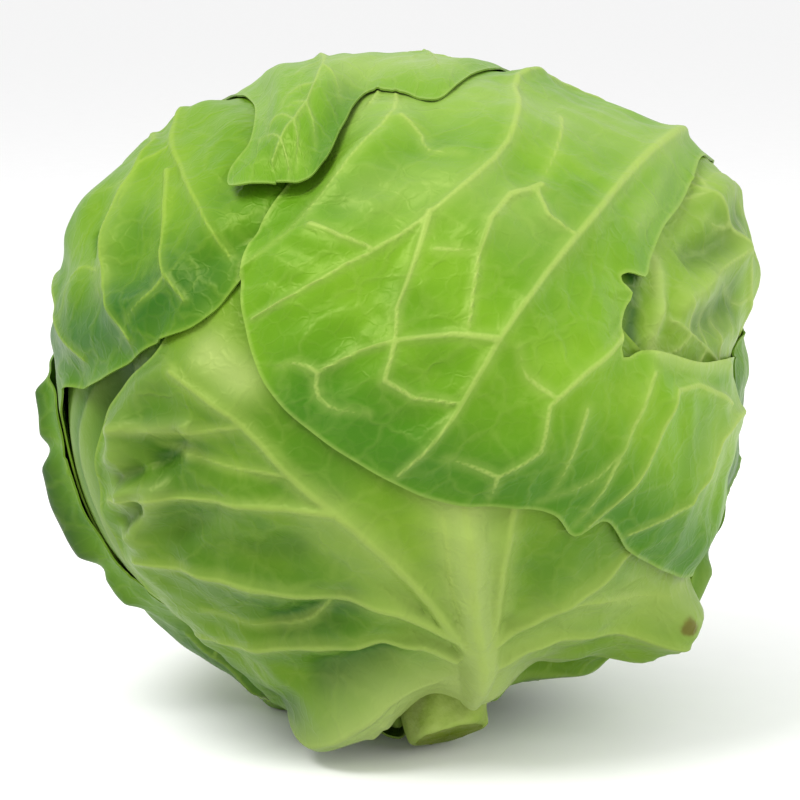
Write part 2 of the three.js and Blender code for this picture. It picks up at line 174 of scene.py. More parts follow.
# Steps along curves and over leaves
CURVE_STEPS = 16
EDGE_STEP = 2 * MM
COARSE_EDGE_STEP = 8 * MM
NEAR_EDGE = 7 * MM
RIB_STEP = 10 * MM
VEIN_STEP = 4 * MM
BRANCH_STEP = 3 * MM
COARSE_STEP = 2.5 * MM
ROW_HEIGHT = math.sqrt(0.75)
BORDER_SHARE = 0.55
SHARP_ANGLE = 55

# Directions that meet the floor, and a distance outside the head
LEAST_FALL = 0.05
LOW_SIDE = 0.6
NO_FLOOR = 9.0
OUTSIDE = 0.13

# Camera: it looks along +Y and a little down
CAMERA_ELEVATION = 10.0
CAMERA_DISTANCE = 0.680
CAMERA_ASIDE = 0.0005
CAMERA_BELOW = 0.0013
LENS = 120.0
SENSOR = 36.0

# Floor, and the lights by place, size and power
FLOOR_DROP = 0.0003
FLOOR_SIZE = 80.0
LIGHTS = {
    "key": ((-0.50, -0.45, 1.0), 0.6, 11.0),
    "fill": ((0.75, -0.7, 0.6), 0.8, 4.2),
    "rim": ((0.85, 0.15, 0.45), 0.5, 1.5),
}

# How the studio light turns a surface colour into the colour seen
LIGHT_SHARE = 0.62
GLOSS_SHARE = 0.040
DARKEST = 0.004

# Gloss, its tint, and the depth of the fine relief on each finish
WAX_GLOSS = 0.28
WAX_TINT = (0.93, 1.0, 0.35, 1.0)
PAINT_GLOSS = 0.2
PAINT_TINT = (1, 1, 1, 1)
LEAF_BUMP = 0.0006
HEART_BUMP = 0.0004
STEM_BUMP = 0.0006
FLOOR_BUMP = 0.0001

# Colours of the leaves as seen, with the shaded green used for painted shade, and how far in millimetres
# the pale foot reaches from the stem
LEAF_FINISHES = {
    "over_leaf": dict(
        blade=(138, 184, 68), dark=(112, 162, 48), shaded_green=(78, 130, 26), vein=(194, 216, 122),
        pale=(182, 208, 122), net=0.07,
    ),
    "front_leaf": dict(
        blade=(132, 170, 66), dark=(94, 138, 36), shaded_green=(54, 104, 16), vein=(174, 198, 106),
        pale=(182, 202, 124), pale_reach=(26, 62), line=0.45, glow=0.35, net=0.08,
    ),
    "side_leaf": dict(
        blade=(130, 174, 56), dark=(104, 152, 36), shaded_green=(64, 112, 16), vein=(170, 200, 94),
        pale=(182, 202, 124),
    ),
    "inner_leaf": dict(
        blade=(148, 186, 76), dark=(118, 160, 52), shaded_green=(50, 98, 14), vein=(188, 210, 124),
        pale=(190, 212, 128),
    ),
    "back_leaf": dict(
        blade=(118, 164, 52), dark=(70, 116, 26), shaded_green=(46, 88, 14), vein=(160, 192, 92),
        pale=(176, 198, 116), pale_reach=(14, 40),
    ),
    "crown_leaf": dict(
        blade=(150, 190, 84), dark=(120, 168, 58), shaded_green=(80, 130, 30), vein=(186, 210, 120),
        pale=(182, 206, 124), pale_reach=(14, 40),
    ),
}
SPOT_BROWN = (112, 92, 40)


def direction(longitude, latitude):
    lon = math.radians(longitude)
    lat = math.radians(latitude)
    return np.array([math.cos(lat) * math.sin(lon), -math.cos(lat) * math.cos(lon), math.sin(lat)])


def turn_about_x(degrees):
    c, s = math.cos(math.radians(degrees)), math.sin(math.radians(degrees))
    return np.array([[1, 0, 0], [0, c, -s], [0, s, c]])


def turn_about_y(degrees):
    c, s = math.cos(math.radians(degrees)), math.sin(math.radians(degrees))
    return np.array([[c, 0, s], [0, 1, 0], [-s, 0, c]])


POSE = turn_about_y(HEAD_ROLL) @ turn_about_x(HEAD_TILT)
DOWN = -POSE[2]


def smoothstep(value, low, high):
    t = np.clip((value - low) / (high - low), 0, 1)
    return t * t * (3 - 2 * t)


def bell(away, width):
    """1 in the middle, falling smoothly to 0 within about two widths."""
    return np.exp(-((away / width) ** 2))


def angle_from(dirs, place):
    """Degrees from a place on the head to each direction."""
    return np.degrees(np.arccos(np.clip(dirs @ direction(*place), -1, 1)))


def even_curve(points, closed, step):
    """A smooth curve through the points, as points that are a step apart."""
    points = np.asarray(points, float)
    if closed:
        padded = np.vstack([points[-1], points, points[:2]])
    else:
        padded = np.vstack([2 * points[0] - points[1], points, 2 * points[-1] - points[-2]])
    share = np.linspace(0, 1, CURVE_STEPS, endpoint=False)[:, None]
    pieces = []
    for p0, p1, p2, p3 in zip(padded, padded[1:], padded[2:], padded[3:]):
        spans = ((p0, p1), (p1, p2), (p2, p3))
        d0, d1, d2 = (max(1e-9, np.linalg.norm(b - a)) ** 0.5 for a, b in spans)
        leave = d1 * ((p1 - p0) / d0 - (p2 - p0) / (d0 + d1) + (p2 - p1) / d1)
        reach = d1 * ((p2 - p1) / d1 - (p3 - p1) / (d1 + d2) + (p3 - p2) / d2)
        cubic = 2 * p1 - 2 * p2 + leave + reach
        square = -3 * p1 + 3 * p2 - 2 * leave - reach
        pieces.append(p1 + share * leave + share**2 * square + share**3 * cubic)
    dense = np.vstack(pieces + [points[:1] if closed else points[-1:]])
    run = np.concatenate([[0], np.cumsum(np.linalg.norm(np.diff(dense, axis=0), axis=1))])
    count = max(3, int(round(run[-1] / step)) + 1)
    stops = np.linspace(0, run[-1], count)
    return np.column_stack([np.interp(stops, run, column) for column in dense.T])


def nearest_on_lines(points, starts, ends):
    """For each point and each line: how far along it the nearest place lies, and how far away."""
    run, rise = (ends - starts).T
    x = points[:, :1] - starts[:, 0]
    y = points[:, 1:] - starts[:, 1]
    along = np.clip((x * run + y * rise) / np.maximum(1e-18, run * run + rise * rise), 0, 1)
    return along, np.hypot(x - along * run, y - along * rise)


def along_curve(points, curve):
    """For each point and each stretch of a curve: the share of the curve behind it, and how far away."""
    along, away = nearest_on_lines(points, curve[:-1], curve[1:])
    return (np.arange(len(curve) - 1) + along) / (len(curve) - 1), away


def in_chunks(function, points, size=4000):
    """Runs a function on a few thousand points at a time and joins what it returns."""
    results = [function(points[i : i + size]) for i in range(0, max(1, len(points)), size)]
    if isinstance(results[0], tuple):
        return tuple(np.concatenate(column) for column in zip(*results))
    return np.concatenate(results)


def ripple(points, wavelength, seed, count=7):
    """A smooth random wave of unit height."""
    rng = np.random.default_rng(seed)
    total = np.zeros(len(points))
    for _ in range(count):
        way = rng.normal(size=points.shape[1])
        way /= np.linalg.norm(way)
        turns = 2 * math.pi * rng.uniform(*RIPPLE_STRETCH) / wavelength
        total += np.cos(points @ way * turns + rng.uniform(0, 2 * math.pi))
    return total / math.sqrt(count / 2)


def base(first, last):
    """The edge of a leaf where it joins the stem."""
    count = max(2, math.ceil(abs(last - first) / BASE_STEP) + 1)
    return [(first + (last - first) * i / (count - 1), BASE_LATITUDE, 0) for i in range(count)]


def feather_ribs(width, height, path, reach):
    """A midrib along a path, with side ribs that leave it on both sides and sweep towards the tip."""
    ribs = [(width, height, path)]
    for lon, lat in path[1:-1]:
        spread = reach / max(0.7, math.cos(math.radians(lat)))
        for side in (-1, 1):
            middle = (lon + side * spread * 0.5, lat + SIDE_RIB_SWEEP[0])
            tip = (lon + side * spread, lat + SIDE_RIB_SWEEP[1])
            ribs.append((SIDE_RIB_WIDTH / MM, SIDE_RIB_HEIGHT / MM, [(lon, lat), middle, tip]))
    return ribs


class Leaf:
    """A leaf as a flat pattern: its margin, its ribs and its fine veins, spread over the head.

    Sizes are in millimetres. A margin point is its place and how far it stands off, a rib is its width,
    height and path, and a fold is its height, width, path and tone: painted shade above 0, painted
    highlight below.
    """

    def __init__(self, name, slot, centre, margin, ribs, veins=(), folds=(), spacing=1.0, wave=0.4,
                 ruffle=0.5, crest=0.5, crest_width=4.0, snug=0.0, branches=False, seed=1):
        self.name = name
        self.slot = slot
        self.spacing = spacing * MM
        self.wave = wave * MM
        self.ruffle = ruffle * MM
        self.crest = crest * MM
        self.crest_width = crest_width * MM
        self.snug = snug
        self.seed = seed
        lon, lat = centre
        self.out = direction(lon, lat)
        self.tipward = direction(lon, lat + 90)
        self.right = np.cross(self.tipward, self.out)
        places = np.array([(*self.place(m[0], m[1]), m[2] * MM) for m in margin])
        self.coarse_edge = even_curve(places, True, COARSE_EDGE_STEP)
        self.edge = even_curve(places, True, EDGE_STEP)
        self.ribs = [(w * MM, h * MM, self.line(path, RIB_STEP)) for w, h, path in ribs]
        self.veins = [self.line(path, VEIN_STEP) for path in veins]
        if branches:
            self.veins += self.branch_veins()
        self.folds = [(h * MM, w * MM, self.line(path, VEIN_STEP), shade_tone) for h, w, path, shade_tone in folds]

    def place(self, lon, lat):
        return self.to_pattern(direction(lon, lat)[None])[0]

    def line(self, path, step):
        return even_curve([self.place(*p) for p in path], False, step)

    def branch_veins(self):
        """Short veins that leave the ribs on both sides and sweep towards their tips."""
        rng = np.random.default_rng(self.seed)
        veins = []
        for _, _, line in self.ribs:
            for foot, following in zip(line[1:-1], line[2:]):
                ahead = (following - foot) / np.linalg.norm(following - foot)
                for side in (-1, 1):
                    across = side * np.array([-ahead[1], ahead[0]])
                    reach = rng.uniform(*BRANCH_REACH) * MM
                    middle = foot + reach * (0.25 * ahead + 0.5 * across)
                    tip = foot + reach * (rng.uniform(*BRANCH_SWEEP) * ahead + 0.85 * across)
                    if rng.random() < BRANCH_SHARE:
                        veins.append(even_curve([foot, middle, tip], False, BRANCH_STEP))
        return veins

    def to_pattern(self, dirs):
        angle = np.arccos(np.clip(dirs @ self.out, -1, 1))
        flat = np.column_stack([dirs @ self.right, dirs @ self.tipward])
        length = np.maximum(1e-12, np.linalg.norm(flat, axis=1))
        return flat * (PATTERN_RADIUS * angle / length)[:, None]

    def to_directions(self, points):
        length = np.linalg.norm(points, axis=1)
        angle = length / PATTERN_RADIUS
        side = np.sin(angle) / np.maximum(1e-12, length)
        flat = points * side[:, None]
        return np.cos(angle)[:, None] * self.out + flat[:, :1] * self.right + flat[:, 1:] * self.tipward

    def margin_at(self, points, edge):
        """Depth inside the margin, the nearest margin's stand-off, and the nearest margin point."""

        def some(part):
            a, b = edge[:-1], edge[1:]
            along, away = nearest_on_lines(part, a[:, :2], b[:, :2])
            pick = away.argmin(1)
            rows = np.arange(len(part))
            share = along[rows, pick][:, None]
            near = a[pick] + (b[pick] - a[pick]) * share
            x, y = part[:, :1], part[:, 1:]
            rise = b[:, 1] - a[:, 1]
            rise = np.where(np.abs(rise) < 1e-15, 1e-15, rise)
            crosses = (a[:, 1] > y) != (b[:, 1] > y)
            crosses &= x < a[:, 0] + (b[:, 0] - a[:, 0]) * (y - a[:, 1]) / rise
            inside = crosses.sum(1) % 2 == 1
            depth = np.where(inside, away[rows, pick], -away[rows, pick])
            return depth, near[:, 2], near[:, :2]

        return in_chunks(some, points)

    def near_margin(self, points):
        """The same as margin_at, with the fine margin used only where it matters."""
        depth, lift, near = self.margin_at(points, self.coarse_edge)
        close = np.abs(depth) < NEAR_EDGE
        depth[close], lift[close], near[close] = self.margin_at(points[close], self.edge)
        return depth, lift, near

    def rib_height(self, points, widen):
        """Height of the ribs, with their tops widened where another leaf has to clear them."""

        def some(part):
            highest = np.zeros(len(part))
            for width, height, line in self.ribs:
                t, away = along_curve(part, line)
                side = np.maximum(0, away - widen) / (width * (1 - (1 - RIB_TIP_WIDTH) * t))
                tall = RIB_TIP_HEIGHT + (height - RIB_TIP_HEIGHT) * (1 - t) ** 3
                highest = np.maximum(highest, (tall * np.clip(1 - side * side, 0, 1) ** 2).max(1))
            return highest

        return in_chunks(some, points)

    def vein_reach(self, points):
        """Distance to the nearest rib or vein in half widths, and to the nearest rib in metres."""

        def some(part):
            least = np.full(len(part), NO_VEIN)
            rib_away = np.full(len(part), 1.0)
            for width, _, line in self.ribs:
                t, away = along_curve(part, line)
                half = min(width, RIB_LINE_MOST) * (RIB_LINE_SHARE - RIB_LINE_TAPER * t)
                half = np.maximum(RIB_LINE_LEAST, half)
                least = np.minimum(least, (away / half + 0.3 * t * t).min(1))
                rib_away = np.minimum(rib_away, away.min(1))
            for line in self.veins:
                t, away = along_curve(part, line)
                least = np.minimum(least, (away / FINE_VEIN_WIDTH + 0.2 + t * t).min(1))
            return least, rib_away

        return in_chunks(some, points)

    def fold_shape(self, points):
        """Height of the folds and dents, and the painted shade and painted highlight they lay on the blade.
        """
        height, dark, light = np.zeros(len(points)), np.zeros(len(points)), np.zeros(len(points))
        for tall, width, line, shade_tone in self.folds:
            near = in_chunks(lambda part: along_curve(part, line)[1].min(1), points)
            part = bell(near, width)
            height += tall * part
            dark = np.maximum(dark, max(0, shade_tone) * part)
            light = np.maximum(light, max(0, -shade_tone) * part)
        return height, dark, light


# A fold's tone paints light into the leaf colour: above 0 it is painted shade in dents, valleys, pockets
# and on lower parts, below 0 it is painted highlight on ridges, tops and glints.
leaf_right = Leaf(
    "leaf_right", "inner_leaf", (80, 0),
    margin=[
        (20, -5, 0), (25, 25, 0), (45, 45, 0), (80, 55, 0), (115, 40, 0), (130, 10, 0), (125, -30, 0),
        (120, -62, 0), *base(112, 72), (52, -62, 0), (45, -45, 0), (25, -25, 0),
    ],
    ribs=[
        (6, 2, [(92, -79), (90, -55), (86, -25), (84, 0), (80, 30)]),
        (2.4, 1.4, [(86, -25), (70, -12), (48, -6)]),
        (2.4, 1.4, [(84, 0), (72, 10), (60, 22)]),
        (2.4, 1.4, [(86, -25), (100, -10), (112, 8)]),
    ],
    veins=[[(79, 12), (63, 4), (51, -4)], [(82, 22), (72, 22), (62, 17)]],
    folds=[
        (2.2, 5, [(82, 22), (66, 18), (57, 13)], -0.3),
        (2.6, 5, [(71, 9), (63, 4), (53, -3)], -0.3),
        (2.6, 7, [(82, 7), (88, 3)], -0.2),
        (-2.0, 4, [(76, 17), (66, 9), (56, 5)], 0.5),
        (-2.0, 5, [(70, 2), (63, -2), (56, -5)], 0.6),
        (2.0, 4, [(66, -6.5), (82, -2), (96, 1)], -0.3),
        (1.6, 2.0, [(48, 4), (46, -6), (45, -11)], -0.8),
        (-3.0, 3.5, [(42, 1), (41, -6), (40, -11)], 1.0),
    ],
    wave=1.4, branches=True, seed=11,
)
leaf_front = Leaf(
    "leaf_front", "front_leaf", (0, -30),
    margin=[
        *base(44, -72), (-92, -76, 2), (-104, -70, 2), (-106, -62, 1.2), (-98, -53, 0.8), (-84, -46, 2),
        (-70, -33, 2.5), (-63, -22, 3.5), (-55, -10, 2.5), (-45, -4, 0.8), (-38, -1, 0), (-30, 6, 0),
        (-10, 12, 0), (20, 8, 0), (45, -14, 0), (62, -24, 0), (85, -38, 0), (96, -48, 2), (90, -62, 1.5),
        (68, -74, 0.5),
    ],
    ribs=[
        (8.5, 9.5, [(26, -79), (19, -68), (14, -58), (11, -46), (10, -30), (8, -10)]),
        (3.6, 3, [(26, -70), (20, -57), (19, -41), (24, -22)]),
        (3.6, 3.2, [(12, -63), (-1, -49), (-11, -36), (-19, -26), (-25, -16), (-34, -6)]),
        (3.4, 3, [(10, -61), (-5, -54), (-22, -48), (-36, -43), (-48, -36), (-62, -29)]),
        (3.2, 2.6, [(8, -66), (-6, -61), (-23, -59), (-43, -55), (-63, -49), (-74, -44)]),
        (3, 2.2, [(10, -74), (-20, -72), (-55, -70), (-85, -64)]),
        (2.2, 1.4, [(-14, -33), (-27, -29), (-45, -23), (-58, -19)]),
        (3.2, 2.6, [(21, -63), (37, -55), (47, -49), (56, -40)]),
        (3, 2.2, [(26, -69), (45, -63), (68, -58), (92, -50)]),
    ],
    veins=[
        [(6, -37), (7, -50), (13, -63)],
        [(-24, -17), (-36, -15), (-49, -10)],
        [(-22, -48), (-32, -52), (-46, -50), (-58, -42)],
        [(-19, -26), (-30, -22), (-42, -15)],
        [(37, -55), (52, -53), (70, -50), (84, -44)],
    ],
    # Folds of height 0 here are painted shade in the left crinkle pockets, a painted glare spot, and
    # painted highlight along the ribs.
    folds=[
        (2.2, 2.8, [(-49, -10), (-42, -12.5), (-34, -14.5)], -0.4),
        (1.8, 2.4, [(-35, -15), (-37, -18)], -0.3),
        (1.8, 2.4, [(-52, -19.5), (-48, -20.5), (-44, -21.5)], -0.4),
        (2.4, 2.8, [(-58, -25), (-52, -24.5), (-46, -22.5)], -0.4),
        (-3.5, 4, [(-37, -16.5), (-44, -17)], 1.0),
        (-3.0, 3, [(-49, -17.5), (-52, -17.5)], 1.0),
        (-3.5, 3.5, [(-52, -22.5), (-56, -23.5)], 1.0),
        (-2.5, 5, [(-36, -28), (-46, -28)], 0.6),
        (-2.0, 6, [(-25, -38), (-40, -35)], 0.6),
        (-3.0, 6, [(-20, -50), (-42, -50)], 1.0),
        (-3.0, 6, [(-20, -63), (-45, -63)], 1.0),
        (-4.0, 6, [(-70, -64), (-85, -62)], 0.9),
        (2.5, 4, [(-36, -4), (-41, -6), (-46, -9), (-52, -14)], -0.2),
        (2.0, 3.5, [(-49, -13), (-53, -20), (-57, -27)], -0.3),
        (-1.5, 7, [(-18, -14), (-30, -20), (-44, -24)], 0.3),
        (0, 20, [(-40, -14), (-46, -34), (-36, -52)], 0.7),
        (0, 6, [(-27, -5), (-23, -10)], -1.0),
        (7.0, 13, [(-50, -74), (-76, -67)], 0),
        (9.0, 11, [(88, -46), (97, -52)], 0),
        (4.0, 10, [(-98, -58), (-84, -48)], 0),
        (1.0, 9, [(22, -77), (16, -62), (11, -46), (10, -30)], -1.0),
        (0, 9, [(14, -64), (-5, -50), (-16, -34)], -0.4),
        (0, 14, [(30, -66), (50, -55)], -0.5),
        (0, 12, [(62, -52), (84, -46)], -0.6),
        (0.8, 1.3, [(-39, -75), (-40, -75.5)], -0.5),
        (0.8, 1.2, [(-44, -77), (-45, -77.5)], -0.5),
        (0.8, 1.3, [(-54, -76), (-55, -76.5)], -0.5),
        (0.7, 1.0, [(-30, -74), (-31, -74.5)], -0.5),
    ],
    spacing=0.9, wave=0.9, ruffle=0.9, crest=2.0, crest_width=6.5, seed=12,
)
leaf_left = Leaf(
    "leaf_left", "side_leaf", (-80, 20),
    margin=[
        (-70, 3, 2), (-60, 0, 2.5), (-50, -1, 2), (-38, 0, 1), (-28, 0, 0.4), (-20, 5, 0.3),
        (-10, 15, 0), (-12, 35, 0), (-30, 55, 0), (-60, 75, 0), (-120, 70, 0), (-150, 45, 0),
        (-160, 10, 0), (-150, -40, 0), (-132, -70, 0), *base(-126, -98), (-110, -62, 0), (-101, -40, 0),
        (-90, -20, 0), (-80, -3, 0.5),
    ],
    ribs=[
        (6.5, 4.5, [(-112, -79), (-116, -45), (-112, -5), (-98, 28), (-72, 46), (-48, 50)]),
        (2.4, 1.4, [(-48, 50), (-40, 38), (-32, 27), (-26, 17), (-22, 9)]),
        (2.2, 1.3, [(-38, 31), (-35, 22), (-35, 13), (-30, 4)]),
        (2.4, 1.4, [(-60, 48.5), (-47, 40), (-49, 30), (-49.5, 21), (-49.5, 15), (-46, 8), (-43, 2)]),
        (2.4, 1.4, [(-92, 33), (-78, 24), (-67, 13), (-58, 4)]),
        (2.4, 1.4, [(-113, -10), (-130, 5), (-143, 22)]),
    ],
    veins=[
        [(-33, 9), (-38, 7), (-43, 5)],
        [(-52, 17), (-60, 20), (-67, 13)],
        [(-40, 38), (-50, 34), (-62, 34)],
    ],
    # The first fold is painted shade along the leaf's lower part.
    folds=[
        (0, 15, [(-74, 12), (-52, 6), (-30, 6)], 1.0),
        (1.5, 5, [(-49, 30), (-50, 14)], -0.3),
        (-1.2, 1.5, [(-56, 25), (-54, 21)], 1.0),
        (-1.2, 6, [(-42, 22), (-40, 10)], 0.3),
        (-1.0, 6, [(-28, 12), (-26, 4)], 0.2),
    ],
    spacing=1.0, wave=1.0, crest=0.8, crest_width=4.5, snug=1.0, seed=13,
)
leaf_over = Leaf(
    "leaf_over", "over_leaf", (60, 15),
    margin=[
        (-8, 28, 0), (-15, 16, 0.3), (-19, 9, 0.3), (-20.5, 1, 0.4), (-19, -12, 0.3), (-11, -23, 0.4),
        (5, -34, 0.3), (27, -37, 0.5), (34, -41, 0.4), (39, -38, 0.6), (51, -43, 0.5), (77, -44, 1),
        (90, -40, 0.5), (100, -36, 0), (106, -22, 0), (106, -8, 0), (98, -1, 0.1), (84, -4, 0.2),
        (66, -9, 0.6), (54, -12, 1.6), (46, -11.8, 2.2), (41, -11.8, 1.4), (37.4, -13.2, 0.3),
        (37.2, -10.6, 0.2), (39, -5.5, 0.2), (40.8, -3, 0.3), (38.2, -0.9, 1.2), (39.6, 0, 1.5),
        (43.5, -0.2, 1.4), (45.4, 2.8, 1), (50, 8.6, 0.8), (58, 15, 0.6),
        (70.5, 25, 0.2), (90, 26, 0), (114, 12, 0), (124, -20, 0), (130, -58, 0), *base(134, 156),
        (164, -56, 0), (165, -10, 0), (150, 32, 0), (110, 60, 0), (60, 74, 0), (20, 74, 0), (0, 58, 0),
    ],
    ribs=[
        (7, 3, [(145, -79), (145, -45), (138, -5), (118, 26), (92, 36), (72, 31)]),
        (2.8, 1.6, [(72, 31), (52, 22), (40, 13), (26, 0), (16, -11), (8, -22), (-1, -29)]),
        (2.6, 1.5, [(92, 36), (62, 48), (38, 43), (30, 31), (22, 19), (8, 8), (-10, 0), (-19, -2)]),
        (2, 1.2, [(118, 26), (96, 54), (50, 62), (12, 52), (3, 37)]),
        (2, 1.2, [(16, -11), (11, -9.7), (1.6, -9.6), (-3.5, -10.1), (-10.3, -12)]),
        (2, 1.2, [(27, 13), (20, 10), (15, 2), (12, -9)]),
        (2, 1.2, [(9, 9), (6, 2), (2, -6), (1.6, -9.6)]),
        (1.5, 0.8, [(1.6, -9.6), (-0.4, -14), (-0.8, -16.2), (3.5, -18), (9.2, -19.3)]),
        (1.6, 1.0, [(-8.2, 9.6), (-5.5, 8.2), (-2.7, 5.4), (0.5, 4.2)]),
        (1.5, 0.9, [(26, 12), (26.5, 6.2), (29.6, 4.8)]),
        (2, 1.2, [(40, -8), (31, -15), (24, -19), (22, -27), (15.5, -30.5)]),
        (2.2, 1.3, [(106, -14), (84, -13), (66, -20), (62, -30), (47, -40)]),
        (2, 1.2, [(66, -16), (48, -17), (45, -28), (36, -39)]),
    ],
    veins=[
        [(9, 40), (7, 32), (3, 26), (-1, 21), (-7, 14), (-13, 9), (-19, 7)],
        [(8, 30), (11, 26), (11, 22), (16, 19)],
        [(40, 31), (33, 21), (26, 12)],
        [(9, 3), (15, 2)],
        [(24, -19), (20, -16), (19, -12)],
        [(15.5, -30.5), (12, -29), (7, -27)],
        [(15.5, -30.5), (15, -34)],
        [(-10.3, -12), (-11.3, -14.8), (-9.5, -17.3), (-4, -19.2)],
        [(-10.3, -12), (-13.2, -10), (-16.2, -10)],
        [(43, -15), (41, -20), (39, -26), (34, -31), (24, -35)],
        [(38, -28), (35, -35), (33, -39)],
        [(30, -21), (28, -28), (26, -34)],
    ],
    # Folds of height 0 here are painted shade along the lower margin, and painted highlight on the upper
    # part and on two lit patches.
    folds=[
        (0, 15, [(-14, -16), (5, -29), (30, -34), (50, -39), (75, -40)], 0.95),
        (0, 20, [(0, 38), (25, 36), (50, 30)], -0.6),
        (0, 12, [(24, 8), (14, 14), (2, 14)], -0.45),
        (1.0, 5, [(8, 30), (-2, 20), (-8, 13)], -0.2),
        (-0.9, 5, [(14, 26), (4, 18), (-4, 12)], 0.3),
        (-0.8, 6, [(33, 12), (24, 2)], 0.2),
        (-0.8, 6, [(2, -2), (8, -14)], 0.3),
        (0.9, 5, [(33, -12), (28, -26)], 0.0),
        (1.2, 4, [(66, 30), (55, 20), (43, 8)], -0.4),
        (1.2, 3, [(44, -12), (52, -12.5), (66, -10)], -0.9),
        (-1.0, 6, [(58, -22), (54, -34)], 0.4),
        (0, 12, [(72, -14), (66, -24)], -0.6),
    ],
    spacing=1.0, wave=1.0, ruffle=0.4, crest=0.9, crest_width=4.5, snug=1.0, seed=14,
)
leaf_back_left = Leaf(
    "leaf_back_left", "back_leaf", (-125, -25),
    margin=[
        (-79, 5, 0.3), (-81, -3, 0.2), (-84, -12, 0.2), (-87, -21, 0.2), (-88, -30, 0.2),
        (-94, -40, 0.3), (-106, -50, 0.4), (-119, -63, 0.4), *base(-126, -150), (-162, -55, 0),
        (-165, -25, 0), (-158, 2, 2), (-140, 18, 4), (-120, 24, 2), (-102, 24, 4), (-88, 15, 2),
    ],
    ribs=feather_ribs(7, 5.5, [(-130, -79), (-130, -58), (-128, -34), (-124, -10), (-116, 14)], 20),
    folds=[
        (3.5, 3.5, [(-83.5, 7), (-85, 1)], 0.7),
        (5.0, 4.5, [(-86.5, -5), (-89, -11), (-92, -18)], 1.0),
        (2.2, 3, [(-94, -24), (-96, -28)], 0.4),
    ],
    spacing=1.0, wave=0.7, ruffle=0.5, snug=1.0, branches=True, seed=15,
)
leaf_back_right = Leaf(
    "leaf_back_right", "back_leaf", (125, -30),
    margin=[
        (86, 2, 0.1), (78, -9, 0.1), (81, -18, 0.3), (89, -24, 0.8), (91, -33, 0.5), (95, -41, 1),
        (97, -49, 0.6), (110, -62, 0.5), *base(122, 150), (162, -55, 0), (165, -30, 0), (158, -4, 2),
        (140, 10, 4), (122, 12, 2), (104, 13, 3.5),
    ],
    ribs=feather_ribs(7, 3, [(128, -79), (128, -58), (127, -36), (122, -14), (114, 6)], 20),
    folds=[(4.0, 3.5, [(98, -38), (100, -44), (102, -50)], -0.4)],
    spacing=1.0, wave=0.7, ruffle=0.5, snug=1.0, branches=True, seed=16,
)
leaf_crown = Leaf(
    "leaf_crown", "crown_leaf", (175, 30),
    margin=[
        (30, 46, 0), (16, 35, 0), (10, 39, 0), (3, 42, 0.2), (-2, 32, 1.2), (-5, 22, 2.5), (-8, 18, 3),
        (-15, 19, 3.5), (-21, 20, 3), (-22, 24, 2), (-20, 31, 0.6), (-22, 42, 0.3), (-39, 57, 0.2),
        (-88, 60, 2), (-125, 38, 3), (-142, 5, 2), (-135, -30, 1), (-118, -55, 0.5), *base(-124, -196),
        (172, -60, 0.5), (152, -35, 1), (150, 0, 2), (140, 34, 3), (105, 55, 1.5), (60, 57, 0.3),
    ],
    ribs=[
        (8, 6, [
            (-172, -79), (-174, -55), (-178, -25), (-179, 5), (-178, 35), (-176, 62), (-60, 86),
            (-12, 66),
        ]),
        (2.6, 0.9, [(-12, 66), (-6, 47), (-9, 33), (-14, 23)]),
        (2.4, 1.5, [(-176, 62), (60, 80), (28, 62), (20, 46)]),
        (2.8, 1.8, [(-178, 35), (-155, 50), (-120, 56)]),
        (2.8, 1.8, [(-179, 5), (-164, 18), (-144, 24)]),
        (2.8, 1.8, [(-178, -25), (-162, -14), (-146, -6)]),
        (2.8, 1.8, [(-178, 35), (160, 50), (125, 54)]),
        (2.8, 1.8, [(-179, 5), (168, 18), (150, 24)]),
        (2.8, 1.8, [(-178, -25), (168, -14), (156, -6)]),
    ],
    # Folds of height 0 here are painted highlight on the crown and painted shade on the flap.
    folds=[
        (0, 13, [(0, 50), (22, 50)], -0.7),
        (0, 9, [(-6, 22), (-3, 32), (0, 40)], 0.7),
        (0, 9, [(-14, 26), (-16, 34)], 0.25),
    ],
    spacing=1.0, wave=0.6, ruffle=0.25, snug=1.0, branches=True, seed=17,
)

# From the inside out
LEAVES = [leaf_right, leaf_front, leaf_left, leaf_over, leaf_back_left, leaf_back_right, leaf_crown]


# Shape of the head

def head_radius(dirs):
    pole = np.where(dirs[:, 2] > 0, CROWN_RADIUS, FOOT_RADIUS)
    across = (dirs[:, 0] ** 2 + dirs[:, 1] ** 2) / WAIST_RADIUS**2
    radius = 1 / np.sqrt(across + dirs[:, 2] ** 2 / pole**2)
    for lon, lat, height, spread in SWELLINGS:
        radius += height * bell(angle_from(dirs, (lon, lat)), spread)
    return radius


def lift_height(depth, lift):
    nearness = np.clip(1 - depth / MARGIN_FADE, 0, 1)
    return lift * nearness * nearness


def stack_height(dirs, count):
    """Height of the first few leaves over the heart."""
    height = np.zeros(len(dirs))
    for leaf in LEAVES[:count]:
        points = leaf.to_pattern(dirs)
        depth, lift, _ = leaf.margin_at(points, leaf.coarse_edge)
        ease = smoothstep(depth, -LAP_START - LAP_EASE, -LAP_START)
        on = ease > 0
        tall = LEAF_GAP + BLADE + lift_height(depth[on], lift[on])
        height[on] += ease[on] * (tall + leaf.rib_height(points[on], RIB_CLEAR))
    return height


def floor_distance(dirs):
    fall = dirs @ DOWN
    return np.where(fall > LEAST_FALL, HEAD_CENTRE[2] / np.maximum(fall, LEAST_FALL), NO_FLOOR)


def heart_radius(dirs, press=0.0):
    radius = head_radius(dirs)
    low = dirs @ DOWN > LOW_SIDE
    limit = floor_distance(dirs[low]) - stack_height(dirs[low], len(LEAVES)) - press
    radius[low] = np.minimum(radius[low], limit)
    return radius


def cover_over(dirs, order):
    """1 where a later leaf lies on top, 0 well clear of it."""
    cover = np.zeros(len(dirs))
    for above in LEAVES[order:]:
        depth = above.margin_at(above.to_pattern(dirs), above.coarse_edge)[0]
        cover = np.maximum(cover, smoothstep(depth, *COVER_EASE))
    return cover


